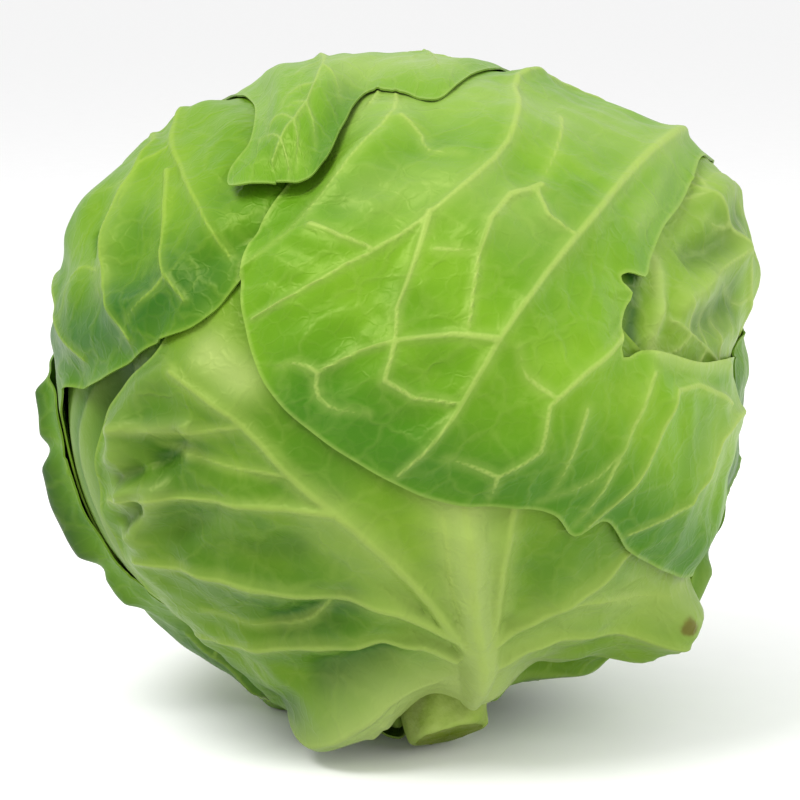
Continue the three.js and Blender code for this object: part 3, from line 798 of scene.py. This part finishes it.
def on_coarse_grid(leaf, points, function, step=COARSE_STEP):
    """Values of a smooth function of direction, read between the nodes of a coarse grid."""
    low = points.min(0) - step
    across, along = (np.ceil((points.max(0) - low) / step).astype(int) + 2).tolist()
    x, y = np.meshgrid(np.arange(across), np.arange(along), indexing="ij")
    nodes = low + np.column_stack([x.ravel(), y.ravel()]) * step
    values = function(leaf.to_directions(nodes)).reshape(across, along)
    place = (points - low) / step
    i, j = place.astype(int).T
    u, v = (place - place.astype(int)).T
    near = values[i, j] * (1 - u) + values[i + 1, j] * u
    far = values[i, j + 1] * (1 - u) + values[i + 1, j + 1] * u
    return near * (1 - v) + far * v


def to_row(dirs, radius):
    """Points at a distance from the head's centre, in the row's frame."""
    return (dirs * radius[:, None]) @ POSE.T + HEAD_CENTRE


# Meshes

def keep_values(mesh, values):
    """Puts numbers on the vertices for a material to read."""
    for key, numbers in values.items():
        layer = mesh.attributes.new(key, "FLOAT", "POINT")
        layer.data.foreach_set("value", np.asarray(numbers, np.float32))


def piece(name, vertices, faces, node, material, values, pattern=None):
    """A mesh object with its values and pattern coordinates, in place of a node."""
    mesh = bpy.data.meshes.new(name)
    mesh.from_pydata(vertices.tolist(), [], faces.tolist() if hasattr(faces, "tolist") else faces)
    mesh.shade_smooth()
    mesh.set_sharp_from_angle(angle=math.radians(SHARP_ANGLE))
    keep_values(mesh, values)
    if pattern is not None:
        corner = np.empty(len(mesh.loops), np.int32)
        mesh.loops.foreach_get("vertex_index", corner)
        layer = mesh.uv_layers.new(name="pattern")
        layer.data.foreach_set("uv", (pattern[corner] / PATTERN_UNIT).astype(np.float32).ravel())
    mesh.materials.append(material)
    mesh.validate()
    made = bpy.data.objects.new(name, mesh)
    bpy.context.scene.collection.objects.link(made)
    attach(made, "root")
    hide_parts(node)
    return made


def leaf_grid(leaf):
    """An even grid of triangles over the leaf's pattern, with its border drawn to the margin."""
    step = leaf.spacing
    low = leaf.edge[:, :2].min(0) - 2 * step
    high = leaf.edge[:, :2].max(0) + 2 * step
    columns = int((high[0] - low[0]) / step) + 2
    rows = int((high[1] - low[1]) / (step * ROW_HEIGHT)) + 2
    row, column = np.meshgrid(np.arange(rows), np.arange(columns), indexing="ij")
    x = low[0] + (column + (row % 2) * 0.5) * step
    y = low[1] + row * step * ROW_HEIGHT
    points = np.column_stack([x.ravel(), y.ravel()])
    here = (row * columns + column)[:-1, :-1]
    right, up, over = here + 1, here + columns, here + columns + 1
    odd = (row % 2 == 1)[:-1, :-1]
    first = np.where(odd[..., None], np.stack([here, right, over], 2), np.stack([here, right, up], 2))
    second = np.where(odd[..., None], np.stack([here, over, up], 2), np.stack([right, over, up], 2))
    faces = np.concatenate([first.reshape(-1, 3), second.reshape(-1, 3)])
    depth, _, near = leaf.near_margin(points)
    border = np.abs(depth) < BORDER_SHARE * step
    kept = depth > -BORDER_SHARE * step
    faces = faces[kept[faces].all(1)]
    all_border = border[faces].all(1)
    middle = points[faces[all_border]].mean(1)
    if len(middle):
        outside = leaf.margin_at(middle, leaf.edge)[0] <= 0
        faces = np.delete(faces, np.flatnonzero(all_border)[outside], axis=0)
    points[border] = near[border]
    used = np.unique(faces)
    order = np.full(len(points), -1)
    order[used] = np.arange(len(used))
    return points[used], order[faces]


def sides(faces):
    """The three directed edges of every triangle."""
    return np.concatenate([faces[:, [0, 1]], faces[:, [1, 2]], faces[:, [2, 0]]])


def border_edges(faces):
    """Directed edges that only one triangle has."""
    edges = sides(faces)
    size = int(faces.max()) + 1
    codes = edges[:, 0] * size + edges[:, 1]
    return edges[~np.isin(edges[:, 1] * size + edges[:, 0], codes)]


class Skin:
    """The outer surface of the pieces made so far, felt from outside along a direction."""

    def __init__(self):
        self.trees = []

    def cover(self, made):
        mesh = made.data
        corners = [v.co for v in mesh.vertices]
        self.trees.append(BVHTree.FromPolygons(corners, [tuple(p.vertices) for p in mesh.polygons]))

    def radius(self, dirs):
        centre = Vector(HEAD_CENTRE)
        found = np.zeros(len(dirs))
        for row, way in enumerate((dirs @ POSE.T).tolist()):
            way = Vector(way)
            hits = (tree.ray_cast(centre + way * OUTSIDE, -way)[3] for tree in self.trees)
            found[row] = max((OUTSIDE - hit for hit in hits if hit is not None), default=0.0)
        return found


def eased(values, faces, rounds):
    """Values evened out between neighbours."""
    count = len(values)
    pairs = sides(faces)
    degree = np.bincount(pairs.ravel(), minlength=count)
    for _ in range(rounds):
        total = np.bincount(pairs[:, 0], values[pairs[:, 1]], count)
        total += np.bincount(pairs[:, 1], values[pairs[:, 0]], count)
        values = 0.5 * values + 0.5 * total / np.maximum(1, degree)
    return values


def leaf_piece(leaf, order, material, skin):
    """A leaf that lies on the pieces made so far, with its ribs, folds and wavy margin."""
    points, faces = leaf_grid(leaf)
    dirs = leaf.to_directions(points)
    depth, lift, _ = leaf.near_margin(points)
    depth = np.maximum(depth, 0)
    bare = 1 - on_coarse_grid(leaf, points, lambda d: cover_over(d, order + 1))
    stack = on_coarse_grid(leaf, points, lambda d: heart_radius(d) + stack_height(d, order))
    reach, rib_away = leaf.vein_reach(points)
    fold, dark, light = leaf.fold_shape(points)
    foot = PATTERN_RADIUS * np.arccos(np.clip(-dirs[:, 2], -1, 1))
    off_foot = smoothstep(foot, *FOOT_EASE)
    inner_blade = smoothstep(depth, 0, BLADE_EASE)
    gap = MARGIN_GAP + (LEAF_GAP - MARGIN_GAP) * smoothstep(depth, 0, GAP_EASE)
    swell = leaf.wave * (1 + ripple(points, LONG_WAVE, leaf.seed)) * 0.5
    short = 1 + ripple(points, SHORT_WAVE, leaf.seed + SHORT_WAVE_SEED)
    swell += SHORT_WAVE_SHARE * leaf.wave * short * 0.5
    swell += leaf.crest * bell(rib_away, leaf.crest_width)
    frill = leaf.ruffle * (1 + ripple(points, FRILL_WAVE, leaf.seed + FRILL_SEED)) * 0.5 * (1 - inner_blade)
    under = stack + gap
    hugging = (depth < SNUG_REACH) & (off_foot > 0)
    if leaf.snug and hugging.any():
        skin_below = np.zeros(len(points))
        skin_below[hugging] = skin.radius(dirs[hugging])
        skin_below = np.maximum(skin_below, stack - SNUG_DROP)
        pull = leaf.snug * off_foot * (1 - smoothstep(depth, *SNUG_EASE)) * hugging
        under = under * (1 - pull) + (skin_below + gap) * pull
        least = np.where(hugging, skin_below + SNUG_CLEARANCE, 0)
        under = np.maximum(eased(under, faces, SNUG_ROUNDS), least)
    under += lift_height(depth, lift) + (swell * inner_blade + frill) * bare * off_foot + fold * bare
    thick = BLADE_EDGE + (BLADE - BLADE_EDGE) * smoothstep(depth, 0, EDGE_EASE)
    fine = FINE_VEIN_HEIGHT * np.clip(1 - (reach / FINE_VEIN_SPREAD) ** 2, 0, 1) ** 2
    relief = np.maximum(leaf.rib_height(points, 0), fine)
    if leaf is leaf_front:
        from_heel = np.linalg.norm(points - leaf.place(*HEEL_PLACE), axis=1)
        relief = np.maximum(relief, HEEL_HEIGHT * bell(from_heel, HEEL_WIDTH))
    outer = under + thick + relief
    if leaf is leaf_crown:
        flat = np.degrees(np.arccos(np.clip(dirs @ DOWN, -1, 1))) < FLAT_ANGLE
        outer[flat] = floor_distance(dirs[flat])
    outer = np.minimum(outer, floor_distance(dirs))
    under = np.minimum(under, outer - THINNEST)
    count = len(points)
    rim = border_edges(faces)
    strips = np.column_stack([rim[:, 1], rim[:, 0], rim[:, 0] + count, rim[:, 1] + count])
    polygons = faces.tolist() + (faces[:, ::-1] + count).tolist() + strips.tolist()
    vertices = np.vstack([to_row(dirs, outer), to_row(dirs, under)])
    from_spot = np.linalg.norm(points - leaf.place(*SPOT_PLACE), axis=1)
    one_side = {
        "vein": reach,
        "edge": depth / MM,
        "foot": foot / MM,
        # dark and light carry the painted shade and painted highlight from the fold tones
        "dark": np.clip(dark, 0, 1),
        "light": np.clip(light, 0, 1),
        "spot": bell(from_spot, SPOT_WIDTH),
    }
    values = {key: np.tile(numbers, 2) for key, numbers in one_side.items()}
    return piece(leaf.name + "_blade", vertices, polygons, leaf.name, material, values,
                 np.vstack([points, points]))


# Materials

def seen(red, green, blue):
    """The surface colour that shows as these 0 to 255 screen values under the studio light."""

    def one(value):
        value /= 255
        value = value / 12.92 if value <= 0.04045 else ((value + 0.055) / 1.055) ** 2.4
        return max(DARKEST, LIGHT_SHARE * (value - GLOSS_SHARE))

    return (one(red), one(green), one(blue), 1.0)


class Shade:
    """A shader socket that can be added, scaled and blended."""

    def __init__(self, tree, socket=None):
        self.tree = tree
        self.socket = socket

    def add(self, kind, settings=None, values=None, output=0):
        node = self.tree.nodes.new(kind)
        for key, value in (settings or {}).items():
            setattr(node, key, value)
        for key, value in (values or {}).items():
            if isinstance(value, Shade):
                self.tree.links.new(value.socket, node.inputs[key])
            else:
                node.inputs[key].default_value = value
        return Shade(self.tree, node.outputs[output] if len(node.outputs) else None)

    def place(self):
        """Where a point lies on the piece."""
        return self.add("ShaderNodeTexCoord", output=3)

    def kept(self, name):
        """A number kept on the vertices."""
        return self.add("ShaderNodeAttribute", {"attribute_name": name}, output=2)

    def noise(self, place, scale, detail, output=0):
        values = {"Vector": place, "Scale": scale, "Detail": detail}
        return self.add("ShaderNodeTexNoise", {}, values, output)

    def sum_up(self, operation, first, second):
        return self.add("ShaderNodeMath", {"operation": operation}, {0: first, 1: second})

    def __add__(self, other):
        return self.sum_up("ADD", self, other)

    __radd__ = __add__

    def __sub__(self, other):
        return self.sum_up("SUBTRACT", self, other)

    def __rsub__(self, other):
        return self.sum_up("SUBTRACT", other, self)

    def __mul__(self, other):
        return self.sum_up("MULTIPLY", self, other)

    __rmul__ = __mul__

    def rise(self, low, high):
        """0 below low, 1 above high, and smooth between."""
        settings = {"interpolation_type": "SMOOTHSTEP"}
        values = {"Value": self, "From Min": low, "From Max": high}
        return self.add("ShaderNodeMapRange", settings, values)

    def blend(self, first, second):
        """The first colour where this is 0 and the second where it is 1."""
        settings = {"data_type": "RGBA"}
        return self.add("ShaderNodeMix", settings, {0: self, 6: first, 7: second}, 2)


def new_material(name):
    material = bpy.data.materials.new(name)
    material.use_nodes = True
    material.node_tree.nodes.clear()
    return material, Shade(material.node_tree)


def close_material(shade, colour, roughness, height, depth, gloss=WAX_GLOSS, tint=WAX_TINT):
    """Ends a material with its surface and the bump of its fine relief."""
    bump = shade.add("ShaderNodeBump", {}, {"Strength": 1.0, "Distance": depth, "Height": height})
    surface = shade.add("ShaderNodeBsdfPrincipled", {}, {
        "Base Color": colour,
        "Roughness": roughness,
        "Specular IOR Level": gloss,
        "Specular Tint": tint,
        "Normal": bump,
    })
    shade.add("ShaderNodeOutputMaterial", {}, {"Surface": surface})


def leaf_material(name, blade, dark, shaded_green, vein, pale, pale_reach=(10, 30), line=0.5, glow=0.2, net=0.10):
    """Waxy leaf: blotched blade, a net of fine veins, paler ribs and a pale foot by the stem, with painted
    shade and highlights from the folds and a painted highlight along the margin.
    """
    material, shade = new_material(name)
    vein, pale = seen(*vein), seen(*pale)
    pattern = shade.add("ShaderNodeUVMap", {"uv_map": "pattern"})
    place = shade.place()
    vein_reach, edge, foot = shade.kept("vein"), shade.kept("edge"), shade.kept("foot")
    painted_shade_part, painted_highlight_part, spot = shade.kept("dark"), shade.kept("light"), shade.kept("spot")
    clouds = shade.noise(place, 26.0, 4.0)
    specks = shade.noise(place, 260.0, 3.0)
    drift = shade.noise(pattern, 18.0, 2.0, 1)
    bent = shade.add("ShaderNodeVectorMath", {"operation": "MULTIPLY_ADD"}, {
        0: drift, 1: (0.05, 0.05, 0.05), 2: pattern,
    })
    cell = {"feature": "DISTANCE_TO_EDGE"}
    net_cells = shade.add("ShaderNodeTexVoronoi", cell, {"Vector": bent, "Scale": 8.0})
    mesh_cells = shade.add("ShaderNodeTexVoronoi", cell, {"Vector": bent, "Scale": 24.0})
    net_lines = 1 - net_cells.rise(0.0, 0.10)
    mesh_lines = 1 - mesh_cells.rise(0.0, 0.16)
    rib_line = 1 - vein_reach.rise(0.4, 1.45)
    rib_glow = 1 - vein_reach.rise(0.5, 5.0)
    stain = (spot * (0.2 + 1.2 * specks)).rise(0.22, 0.6)
    colour = clouds.rise(0.30, 0.72).blend(seen(*dark), seen(*blade))
    # Painted shade: the folds' dark tone blends towards the shaded green in dents, valleys, pockets and
    # lower parts.
    colour = (0.9 * painted_shade_part).blend(colour, seen(*shaded_green))
    # Painted highlight: the folds' pale tone blends towards the pale colour on ridges, tops and glints.
    colour = (0.75 * painted_highlight_part).blend(colour, pale)
    colour = (net * net_lines + 0.4 * net * mesh_lines).blend(colour, vein)
    colour = (glow * rib_glow).blend(colour, vein)
    colour = (line * rib_line).blend(colour, vein)
    colour = (1 - (foot + 26 * clouds).rise(*pale_reach)).blend(colour, pale)
    # Painted highlight: a pale rim along the leaf's margin.
    colour = (0.3 * (1 - edge.rise(0.1, 1.4))).blend(colour, vein)
    colour = (0.75 * stain).blend(colour, seen(*SPOT_BROWN))
    roughness = 0.36 + 0.12 * specks + 0.06 * rib_line
    height = 0.16 * net_lines + 0.08 * mesh_lines + 0.15 * rib_line + 0.16 * specks
    close_material(shade, colour, roughness, height, LEAF_BUMP)
    return material


def heart_material():
    """Pale packed leaves, greener where they show between the wrapper leaves, with painted shade in the
    crevices between laps and in the hollow under the side leaf.
    """
    material, shade = new_material("heart_skin")
    place = shade.place()
    strip, shown, hollow = shade.kept("strip"), shade.kept("shown"), shade.kept("hollow")
    clouds = shade.noise(place, 30.0, 4.0)
    fine = shade.noise(place, 240.0, 3.0)
    colour = clouds.rise(0.3, 0.7).blend(seen(168, 192, 104), seen(200, 216, 142))
    # Painted shade: each lap is darker low in the crevice between laps and paler on its crest.
    green = strip.rise(0.0, 1.0).blend(seen(80, 124, 34), seen(136, 168, 84))
    colour = shown.blend(colour, green)
    # Painted shade in the hollow under the side leaf.
    colour = (0.85 * hollow).blend(colour, seen(56, 98, 20))
    close_material(shade, colour, 0.42 + 0.1 * fine, fine, HEART_BUMP)
    return material


def stem_material():
    """Pale green skin, and a drier olive cut with rings round its middle."""
    material, shade = new_material("stem_skin")
    place = shade.place()
    cut, across = shade.kept("cut"), shade.kept("across")
    clouds = shade.noise(place, 110.0, 4.0)
    fine = shade.noise(place, 700.0, 3.0)
    skin = clouds.rise(0.3, 0.7).blend(seen(158, 186, 86), seen(190, 210, 122))
    ring = across.rise(0.55, 0.75) - across.rise(0.8, 0.95)
    face = clouds.rise(0.3, 0.75).blend(seen(126, 148, 50), seen(154, 172, 76))
    face = (0.5 * ring).blend(face, seen(158, 172, 92))
    colour = cut.rise(0.4, 0.6).blend(skin, face)
    close_material(shade, colour, 0.5 + 0.2 * fine, clouds + 0.6 * fine, STEM_BUMP)
    return material


# The heart and the stem

def heart_piece():
    """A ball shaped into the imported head, with the laps of its leaves running up it."""
    bpy.ops.object.select_all(action="DESELECT")
    bpy.ops.mesh.primitive_ico_sphere_add(subdivisions=HEART_SUBDIVISIONS, radius=1.0)
    ball = bpy.context.object
    dirs = np.array([v.co for v in ball.data.vertices])
    dirs /= np.linalg.norm(dirs, axis=1)[:, None]
    turn = np.arctan2(dirs[:, 0], -dirs[:, 1]) / (2 * math.pi) + 1 + LAP_TWIST * dirs[:, 2] / HEART_LAPS
    lap = (turn * HEART_LAPS) % 1
    relief = LAP_DEPTH * lap * np.minimum(1, 2 * np.sqrt(np.clip(1 - dirs[:, 2] ** 2, 0, 1)))
    radius = np.minimum(head_radius(dirs) - HEART_CLEARANCE, heart_radius(dirs, HEART_PRESS))
    depth = leaf_front.margin_at(leaf_front.to_pattern(dirs), leaf_front.coarse_edge)[0]
    left = smoothstep(-dirs[:, 0], *SHOWN_SIDE) * (1 - smoothstep(-depth, *SHOWN_END))
    shown = left * smoothstep(-depth, *SHOWN_START)
    outward = LAP_WAVE_HEIGHT * ripple(dirs * WAIST_RADIUS, LAP_WAVE, LAP_SEED) - depth
    turn = (outward / LAP_STEP + LAP_SHIFT * np.sin(outward / LAP_STRETCH)) % 1
    strip = np.minimum(turn / LAP_SLOPES[0], (1 - turn) / LAP_SLOPES[1])
    strip += LAP_FADE_SHARE * (LAP_FADE_LEVEL - strip) * smoothstep(outward, *LAP_FADE)
    hollow = bell(angle_from(dirs, HOLLOW_PLACE), HOLLOW_SPREAD)
    radius += shown * LAP_RISE * (strip**LAP_ROUNDING - 0.5) - relief * (1 - shown)
    radius -= HOLLOW_DEPTH * hollow + HEART_SINK * smoothstep(depth, *SINK_EASE)
    low = dirs[:, 2] < HEART_FLAT_FROM
    radius[low] = np.minimum(radius[low], -HEART_FLAT / dirs[low, 2])
    mesh = ball.data
    mesh.vertices.foreach_set("co", to_row(dirs, radius).astype(np.float32).ravel())
    keep_values(mesh, {"strip": strip, "shown": shown, "hollow": hollow})
    ball.name = mesh.name = "heart_leaves"
    mesh.shade_smooth()
    mesh.materials.append(heart_material())
    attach(ball, "root")
    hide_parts("heart")
    return ball


def stem_piece():
    """The stub: rings down its side, then rings in to the middle of the sloping cut."""
    side = even_curve([(r, 0, h) for h, r in STEM_PROFILE], False, STEM_STEP)
    rings = [(r, h, 0.0) for r, _, h in side]
    last_radius, last_height, _ = rings[-1]
    for i in range(1, STEM_FACE_RINGS):
        rings.append((last_radius * (1 - i / STEM_FACE_RINGS), last_height, 1.0))
    angle = np.linspace(0, 2 * math.pi, STEM_SIDES, endpoint=False)
    top = STEM_PROFILE[0][0]
    vertices, cut, across = [], [], []
    for radius, height, flat in rings:
        down = (top - height) / (top - STEM_PROFILE[-1][0])
        scar = STEM_SCAR_DEPTH * np.cos(STEM_SCARS * angle + down * STEM_SCAR_TWIST) * (1 - flat)
        rough = np.cos(9 * angle + 70 * radius / MM) * np.cos(3 * angle + height / MM)
        reach = radius - STEM_SCAR_DEPTH + scar
        x, y = reach * np.cos(angle), reach * np.sin(angle)
        z = height + STEM_CUT_SLOPE * x * down + STEM_CUT_ROUGHNESS * rough * flat
        vertices.append(np.column_stack([x, y, z]))
        cut += [flat] * STEM_SIDES
        across += [radius / last_radius] * STEM_SIDES
    vertices.append(np.array([[0, 0, top], [0, 0, last_height]]))
    cut += [0.0, 1.0]
    across += [0.0, 0.0]
    points = np.vstack(vertices)
    faces = []
    for ring in range(len(rings) - 1):
        for i in range(STEM_SIDES):
            a, b = ring * STEM_SIDES + i, ring * STEM_SIDES + (i + 1) % STEM_SIDES
            faces.append((a, a + STEM_SIDES, b + STEM_SIDES, b))
    crown, heel = len(points) - 2, len(points) - 1
    for i in range(STEM_SIDES):
        following = (i + 1) % STEM_SIDES
        rim = (len(rings) - 1) * STEM_SIDES
        faces.append((crown, i, following))
        faces.append((heel, rim + following, rim + i))
    row = points @ POSE.T + HEAD_CENTRE
    values = {"cut": cut, "across": across}
    return piece("stem_stub", row, faces, "stem", stem_material(), values)


head_skin = Skin()
head_skin.cover(heart_piece())
stem_piece()
leaf_skins = {slot: leaf_material(slot + "_skin", **finish) for slot, finish in LEAF_FINISHES.items()}
for place_in_stack, each in enumerate(LEAVES):
    head_skin.cover(leaf_piece(each, place_in_stack, leaf_skins[each.slot], head_skin))


# Floor, light and camera

def floor():
    bpy.ops.object.select_all(action="DESELECT")
    bpy.ops.mesh.primitive_plane_add(size=FLOOR_SIZE)
    ground = bpy.context.object
    ground.name = "floor"
    ground.location.z = -FLOOR_DROP
    material, shade = new_material("floor_paint")
    grain = shade.noise(shade.place(), 60.0, 2.0)
    colour = grain.rise(0.0, 1.0).blend((0.90, 0.90, 0.90, 1), (0.92, 0.92, 0.92, 1))
    close_material(shade, colour, 0.8 + 0.05 * grain, grain, FLOOR_BUMP, PAINT_GLOSS, PAINT_TINT)
    ground.data.materials.append(material)


def soft_light(name, place, size, power):
    data = bpy.data.lights.new(name, "AREA")
    data.shape = "DISK"
    data.size = size
    data.energy = power
    lamp = bpy.data.objects.new(name, data)
    bpy.context.scene.collection.objects.link(lamp)
    away = np.array(place) - HEAD_CENTRE
    away /= np.linalg.norm(away)
    lamp.location = place
    lamp.rotation_euler = (math.acos(away[2]), 0, math.atan2(away[1], away[0]) + math.pi / 2)


def sky():
    world = bpy.data.worlds.new("studio")
    world.use_nodes = True
    background = world.node_tree.nodes["Background"]
    background.inputs["Color"].default_value = (1, 1, 1, 1)
    background.inputs["Strength"].default_value = 1.0
    bpy.context.scene.world = world
    bpy.context.scene.view_settings.view_transform = "Standard"


def camera():
    data = bpy.data.cameras.new("camera")
    data.sensor_fit = "HORIZONTAL"
    data.sensor_width = SENSOR
    data.lens = LENS
    eye = bpy.data.objects.new("camera", data)
    bpy.context.scene.collection.objects.link(eye)
    tilt = math.radians(CAMERA_ELEVATION)
    ahead = np.array([0, math.cos(tilt), -math.sin(tilt)])
    up = np.array([0, math.sin(tilt), math.cos(tilt)])
    aside = np.array([CAMERA_ASIDE, 0, 0])
    eye.location = HEAD_CENTRE - CAMERA_DISTANCE * ahead - aside - CAMERA_BELOW * up
    eye.rotation_euler = (math.radians(90 - CAMERA_ELEVATION), 0, 0)
    bpy.context.scene.camera = eye


floor()
sky()
for light_name, settings in LIGHTS.items():
    soft_light(light_name, *settings)
camera()
